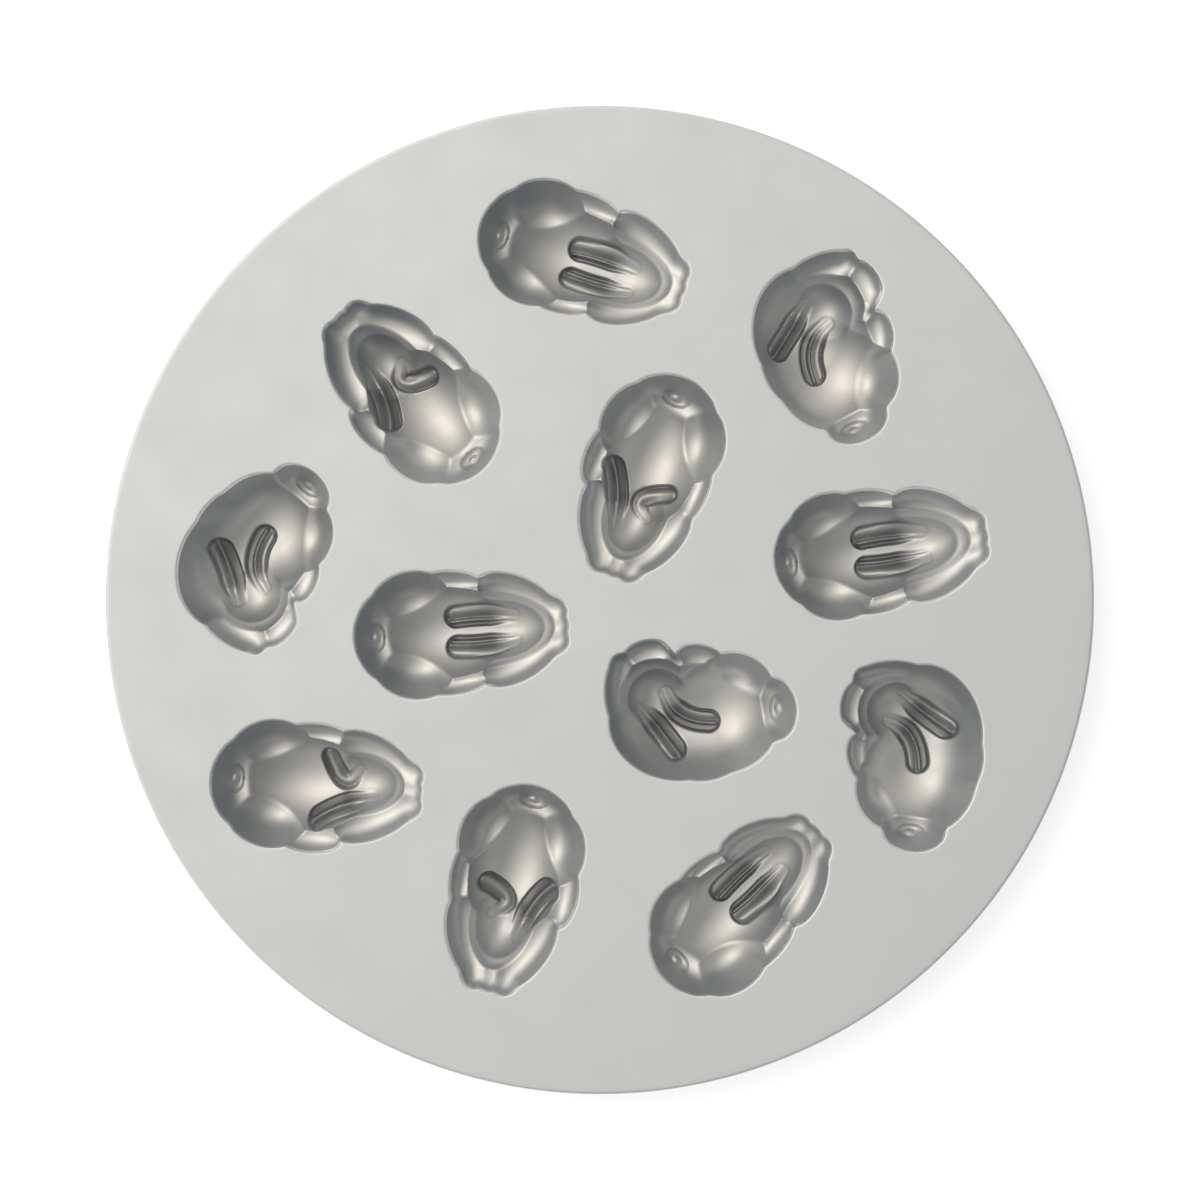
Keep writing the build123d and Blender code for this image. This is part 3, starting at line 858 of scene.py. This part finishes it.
def plate_surface(settings):
    """Points and faces of the plate: its rim, a strip down each mouth, and its two flats."""
    rim = rim_strip(Millimetres(settings.bunny_pan_sizes).rim_round)
    strips = []
    for design, places in DESIGNS.values():
        rings = mouth_strip(Shapes(design, settings))
        for place in places.values():
            strips.append(place.on_plate(rings[:, ::-1] if place.flipped else rings))
    points = [rim.reshape(-1, 3)]
    metal = [ring_faces(0, len(rim), RIM_AROUND)]
    walls = []
    count = len(points[0])
    top_line = [np.arange(RIM_AROUND)]
    under_line = [count - RIM_AROUND + np.arange(RIM_AROUND)]
    for strip in strips:
        faces = ring_faces(count, MOUTH_RINGS, AROUND)[:, ::-1]
        satin = SATIN_RINGS * AROUND
        metal.append(faces[:satin])
        walls.append(faces[satin:])
        top_line.append(count + np.arange(AROUND))
        count += MOUTH_RINGS * AROUND
        under_line.append(count - AROUND + np.arange(AROUND))
        points.append(strip.reshape(-1, 3))
    points = np.concatenate(points)
    for line, order in ((top_line, 1), (under_line, -1)):
        fill = flat_fill(points[line[0], :2], [points[part, :2] for part in line[1:]])
        metal.append(np.concatenate(line)[fill][:, ::order])
    # Painted highlight: where the plate turns down, its brighter edge tint is used
    steepness = step_up(PLATE_TOP - points[:, 2], *EDGE_FALL)
    steepness[under_line[0]] = 0
    return points, metal + walls, [0] * len(metal) + [1] * len(walls), {"steepness": steepness}


def plain_node_tree(material_or_world):
    """The emptied node tree of a material or a world."""
    material_or_world.use_nodes = True
    tree = material_or_world.node_tree
    tree.nodes.clear()
    return tree


def noise(tree, scale, detail):
    """Noise on Object coordinates. Scale is in patches per metre."""
    place = tree.nodes.new("ShaderNodeTexCoord")
    texture = tree.nodes.new("ShaderNodeTexNoise")
    texture.inputs["Scale"].default_value = scale
    texture.inputs["Detail"].default_value = detail
    tree.links.new(place.outputs["Object"], texture.inputs["Vector"])
    return texture.outputs["Fac"]


def spread_over(tree, factor, low, high):
    """A number that goes from low to high with the factor."""
    spread = tree.nodes.new("ShaderNodeMapRange")
    spread.inputs["From Min"].default_value = NOISE_RANGE[0]
    spread.inputs["From Max"].default_value = NOISE_RANGE[1]
    spread.inputs["To Min"].default_value = low
    spread.inputs["To Max"].default_value = high
    tree.links.new(factor, spread.inputs["Value"])
    return spread.outputs["Result"]


def shaded(tree, factor, tint, low, high):
    """A colour that varies in lightness between two shares of a tint."""
    ramp = tree.nodes.new("ShaderNodeValToRGB")
    for element, part, spot in zip(ramp.color_ramp.elements, (low, high), NOISE_RANGE):
        element.position = spot
        element.color = [channel * part for channel in tint] + [1.0]
    tree.links.new(factor, ramp.inputs["Fac"])
    return ramp.outputs["Color"]


def of_point(tree, name):
    """A number that each point of the mesh holds."""
    attribute = tree.nodes.new("ShaderNodeAttribute")
    attribute.attribute_name = name
    return attribute.outputs["Fac"]


def mixed(tree, kind, factor, one, other):
    """A colour or number that turns into the other one with the factor."""
    mix = tree.nodes.new("ShaderNodeMix")
    mix.data_type = kind
    sockets = [socket for socket in mix.inputs if socket.enabled]
    for source, socket in zip((factor, one, other), sockets):
        tree.links.new(source, socket)
    return next(socket for socket in mix.outputs if socket.enabled)


def darkened(tree, colour, darkest):
    """A colour that goes down to its darkest share in the folds of the ears: painted shade in those
    grooves.
    """
    keep = tree.nodes.new("ShaderNodeMapRange")
    keep.inputs["To Min"].default_value = 1.0
    keep.inputs["To Max"].default_value = darkest
    tree.links.new(of_point(tree, "painted_fold_shade"), keep.inputs["Value"])
    product = tree.nodes.new("ShaderNodeVectorMath")
    product.operation = "SCALE"
    tree.links.new(colour, product.inputs[0])
    tree.links.new(keep.outputs["Result"], product.inputs["Scale"])
    return product.outputs["Vector"]


class Grain(NamedTuple):
    """How uneven metal is: patches and grains to the metre, how much the patches differ in
    lightness, and how high the grains are in millimetres."""

    patches: float
    contrast: float
    grains: float
    height: float


SATIN_GRAIN = Grain(patches=18.0, contrast=0.004, grains=2200.0, height=0.01)
SMOOTH_GRAIN = Grain(patches=90.0, contrast=0.015, grains=900.0, height=0.004)
CAST_GRAIN = Grain(patches=120.0, contrast=0.03, grains=1200.0, height=0.05)


def metal_finish(name, tints, roughnesses, grain, fold_shade_kept):
    """Metal with faint patches in its lightness and roughness and a fine grain in its relief. It
    has one tint and roughness where it is level and another where it is steep. In the cups the
    steep tint is painted shade, darker and cooler on the steep sides; on the plate it is a painted
    highlight, brighter along the edges. The colour also carries painted shade in the folds of the
    ears."""
    material = bpy.data.materials.new(name)
    tree = plain_node_tree(material)
    shader = tree.nodes.new("ShaderNodeBsdfPrincipled")
    output = tree.nodes.new("ShaderNodeOutputMaterial")
    shader.inputs["Metallic"].default_value = 1.0
    patches = noise(tree, grain.patches, PATCH_DETAIL)
    shades = [
        shaded(tree, patches, tint, 1 - grain.contrast, 1 + grain.contrast) for tint in tints
    ]
    # Steepness picks the steep tint: painted shade on the cups' sides, painted highlight on the
    # plate's edges
    steep = of_point(tree, "steepness")
    colour = mixed(tree, "RGBA", steep, *shades)
    # Painted shade: the colour is darkened in the folds of the ears
    tree.links.new(darkened(tree, colour, fold_shade_kept), shader.inputs["Base Color"])
    worn = noise(tree, grain.patches * WORN_FINER, WORN_DETAIL)
    rough = [
        spread_over(tree, worn, each * (1 - WORN_SPREAD), each * (1 + WORN_SPREAD))
        for each in roughnesses
    ]
    tree.links.new(mixed(tree, "FLOAT", steep, *rough), shader.inputs["Roughness"])
    bump = tree.nodes.new("ShaderNodeBump")
    bump.inputs["Strength"].default_value = 1.0
    bump.inputs["Distance"].default_value = grain.height * MM
    tree.links.new(noise(tree, grain.grains, PATCH_DETAIL), bump.inputs["Height"])
    tree.links.new(bump.outputs["Normal"], shader.inputs["Normal"])
    tree.links.new(shader.outputs["BSDF"], output.inputs["Surface"])
    return material


class CAKEPAN_OT_finishes(bpy.types.Operator):
    """Mix the metal finishes of the plate and the cups"""

    bl_idname = "cakepan.finishes"
    bl_label = "Metal Finishes"

    def execute(self, context):
        finish = context.scene.bunny_pan_finish
        # Plate tint and the painted highlight of its edges
        plate = (finish.plate_colour, finish.edge_highlight_colour)
        # Floor tint and the painted shade of the steep sides
        hollow = (finish.hollow_colour, finish.side_shade_colour)
        outside = (finish.outside_colour, finish.outside_colour)
        smooth = (finish.plate_roughness, finish.edge_roughness)
        inner = (finish.hollow_roughness, finish.hollow_roughness)
        outer = (finish.outside_roughness, finish.outside_roughness)
        # Share of lightness kept where painted shade darkens the folds of the ears
        kept = finish.fold_shade_kept
        metal_finish("satin_metal", plate, smooth, SATIN_GRAIN, kept)
        metal_finish("hollow_metal", hollow, inner, SMOOTH_GRAIN, kept)
        metal_finish("cast_metal", outside, outer, CAST_GRAIN, kept)
        return {"FINISHED"}


class CAKEPAN_OT_plate(bpy.types.Operator):
    """Add the round plate with its rim and the rounded mouths of the cups"""

    bl_idname = "cakepan.plate"
    bl_label = "Plate"

    def execute(self, context):
        points, groups, finish_of_group, of_points = plate_surface(context.scene)
        finishes = [bpy.data.materials["satin_metal"], bpy.data.materials["hollow_metal"]]
        piece = make_mesh("plate_disc", points, groups, finishes, finish_of_group, of_points)
        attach(piece, BODY)
        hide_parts("plate")
        return {"FINISHED"}


def add_cups(context, name):
    """The cups of one design, each in its place."""
    design, places = DESIGNS[name]
    points, groups, of_points = cup_surface(Shapes(design, context.scene))
    for cup, place in places.items():
        cup_piece(cup, place, points, groups, of_points)
    return {"FINISHED"}


class CAKEPAN_OT_straight_cups(bpy.types.Operator):
    """Add the four cups in the shape of a straight bunny"""

    bl_idname = "cakepan.straight_cups"
    bl_label = "Straight Bunny Cups"

    def execute(self, context):
        return add_cups(context, "straight")


class CAKEPAN_OT_folded_ear_cups(bpy.types.Operator):
    """Add the four cups in the shape of a bunny with a folded ear"""

    bl_idname = "cakepan.folded_ear_cups"
    bl_label = "Folded-Ear Bunny Cups"

    def execute(self, context):
        return add_cups(context, "folded_ear")


class CAKEPAN_OT_curled_cups(bpy.types.Operator):
    """Add the four cups in the shape of a curled bunny"""

    bl_idname = "cakepan.curled_cups"
    bl_label = "Curled Bunny Cups"

    def execute(self, context):
        return add_cups(context, "curled")


def add_floor(stage):
    """A white floor that keeps the pan's shadow and can be looked through from below."""
    half = stage.floor_size / 2
    mesh = bpy.data.meshes.new("floor")
    corners = [(-half, -half, 0), (half, -half, 0), (half, half, 0), (-half, half, 0)]
    mesh.from_pydata(corners, [], [(0, 1, 2, 3)])
    floor = bpy.data.objects.new("floor", mesh)
    bpy.context.scene.collection.objects.link(floor)
    material = bpy.data.materials.new("white_floor")
    mesh.materials.append(material)
    tree = plain_node_tree(material)
    nodes = tree.nodes
    lit = nodes.new("ShaderNodeBsdfDiffuse")
    lit.inputs["Color"].default_value = FLOOR_COLOUR
    glow = nodes.new("ShaderNodeEmission")
    glow.inputs["Color"].default_value = WHITE
    rays = nodes.new("ShaderNodeLightPath")
    seen = nodes.new("ShaderNodeMath")
    seen.operation = "MULTIPLY"
    seen.inputs[1].default_value = FLOOR_GLOW
    tree.links.new(rays.outputs["Is Camera Ray"], seen.inputs[0])
    tree.links.new(seen.outputs[0], glow.inputs["Strength"])
    both = nodes.new("ShaderNodeAddShader")
    tree.links.new(lit.outputs[0], both.inputs[0])
    tree.links.new(glow.outputs[0], both.inputs[1])
    clear = nodes.new("ShaderNodeBsdfTransparent")
    sides = nodes.new("ShaderNodeNewGeometry")
    choice = nodes.new("ShaderNodeMixShader")
    tree.links.new(sides.outputs["Backfacing"], choice.inputs["Fac"])
    tree.links.new(both.outputs[0], choice.inputs[1])
    tree.links.new(clear.outputs[0], choice.inputs[2])
    output = nodes.new("ShaderNodeOutputMaterial")
    tree.links.new(choice.outputs[0], output.inputs["Surface"])


def add_lamp(name, spot, size, power, tint):
    """A square soft lamp at a spot in metres, facing the middle of the pan."""
    lamp = bpy.data.lights.new(name, "AREA")
    lamp.size = size
    lamp.energy = power
    lamp.color = tint
    holder = bpy.data.objects.new(name, lamp)
    holder.location = spot
    holder.rotation_euler = (-Vector(spot)).to_track_quat("-Z", "Y").to_euler()
    bpy.context.scene.collection.objects.link(holder)


def add_sky(stage):
    """A pale sky that is bright and warm towards the lamp, darker and cool on the far side. What
    the camera sees of it is white."""
    world = bpy.data.worlds.new("studio")
    bpy.context.scene.world = world
    tree = plain_node_tree(world)
    way = tree.nodes.new("ShaderNodeTexCoord")
    towards = tree.nodes.new("ShaderNodeVectorMath")
    towards.operation = "DOT_PRODUCT"
    towards.inputs[1].default_value = Vector(BRIGHT_SIDE).normalized()
    tree.links.new(way.outputs["Generated"], towards.inputs[0])
    side = tree.nodes.new("ShaderNodeMapRange")
    side.interpolation_type = "SMOOTHSTEP"
    side.inputs["From Min"].default_value = SKY_TURNS[0]
    side.inputs["From Max"].default_value = SKY_TURNS[1]
    tree.links.new(towards.outputs["Value"], side.inputs["Value"])
    ramp = tree.nodes.new("ShaderNodeValToRGB")
    for element, shade in zip(ramp.color_ramp.elements, (stage.sky_far, stage.sky_near)):
        element.color = (*shade, 1.0)
    tree.links.new(side.outputs["Result"], ramp.inputs["Fac"])
    around = tree.nodes.new("ShaderNodeBackground")
    around.inputs["Strength"].default_value = stage.sky
    tree.links.new(ramp.outputs["Color"], around.inputs["Color"])
    white = tree.nodes.new("ShaderNodeBackground")
    rays = tree.nodes.new("ShaderNodeLightPath")
    white.inputs["Color"].default_value = WHITE
    choice = tree.nodes.new("ShaderNodeMixShader")
    output = tree.nodes.new("ShaderNodeOutputWorld")
    tree.links.new(rays.outputs["Is Camera Ray"], choice.inputs["Fac"])
    tree.links.new(around.outputs[0], choice.inputs[1])
    tree.links.new(white.outputs[0], choice.inputs[2])
    tree.links.new(choice.outputs[0], output.inputs["Surface"])


def add_camera(stage):
    """A camera that looks straight down on the middle of the plate, with +Y up in its picture."""
    lens = bpy.data.cameras.new("camera")
    lens.sensor_fit = "HORIZONTAL"
    lens.angle = 2 * math.atan(stage.view_width / 2 / stage.camera_height)
    lens.clip_start = SEEN_FROM
    lens.clip_end = SEEN_TO
    camera = bpy.data.objects.new("camera", lens)
    camera.location = (0.0, 0.0, PLATE_TOP * MM + stage.camera_height)
    bpy.context.scene.collection.objects.link(camera)
    bpy.context.scene.camera = camera


class CAKEPAN_OT_stage(bpy.types.Operator):
    """Add the floor, the sky, the lamp and the camera"""

    bl_idname = "cakepan.stage"
    bl_label = "Stage"

    def execute(self, context):
        stage = context.scene.bunny_pan_stage
        add_floor(stage)
        add_sky(stage)
        add_lamp("key_lamp", LAMP_SPOT, LAMP_SIZE, stage.key, LAMP_TINT)
        add_camera(stage)
        context.scene.view_settings.view_transform = "Standard"
        return {"FINISHED"}


class CAKEPAN_PT_panel(bpy.types.Panel):
    """Sizes and colours of the pan, and a button for each of its pieces"""

    bl_idname = "CAKEPAN_PT_panel"
    bl_label = "Bunny Cake Pan"
    bl_space_type = "VIEW_3D"
    bl_region_type = "UI"
    bl_category = "Cake Pan"

    def draw(self, context):
        for name in GROUPS:
            group = getattr(context.scene, name)
            box = self.layout.box()
            for prop in group.bl_rna.properties:
                if prop.identifier not in {"rna_type", "name"}:
                    box.prop(group, prop.identifier)
        for operator in OPERATORS:
            self.layout.operator(operator.bl_idname)


GROUPS = {
    "bunny_pan_sizes": PanSizes,
    "bunny_pan_depths": HollowDepths,
    "bunny_pan_finish": PanFinish,
    "bunny_pan_stage": StageSettings,
}
OPERATORS = (
    CAKEPAN_OT_finishes,
    CAKEPAN_OT_plate,
    CAKEPAN_OT_straight_cups,
    CAKEPAN_OT_folded_ear_cups,
    CAKEPAN_OT_curled_cups,
    CAKEPAN_OT_stage,
)


def register():
    for group in GROUPS.values():
        bpy.utils.register_class(group)
    for name, group in GROUPS.items():
        setattr(bpy.types.Scene, name, PointerProperty(type=group))
    for operator in OPERATORS:
        bpy.utils.register_class(operator)
    bpy.utils.register_class(CAKEPAN_PT_panel)


def unregister():
    bpy.utils.unregister_class(CAKEPAN_PT_panel)
    for operator in reversed(OPERATORS):
        bpy.utils.unregister_class(operator)
    for name, group in GROUPS.items():
        delattr(bpy.types.Scene, name)
        bpy.utils.unregister_class(group)


def main():
    register()
    for operator in OPERATORS:
        group, name = operator.bl_idname.split(".")
        getattr(getattr(bpy.ops, group), name)()


if __name__ == "__main__":
    main()
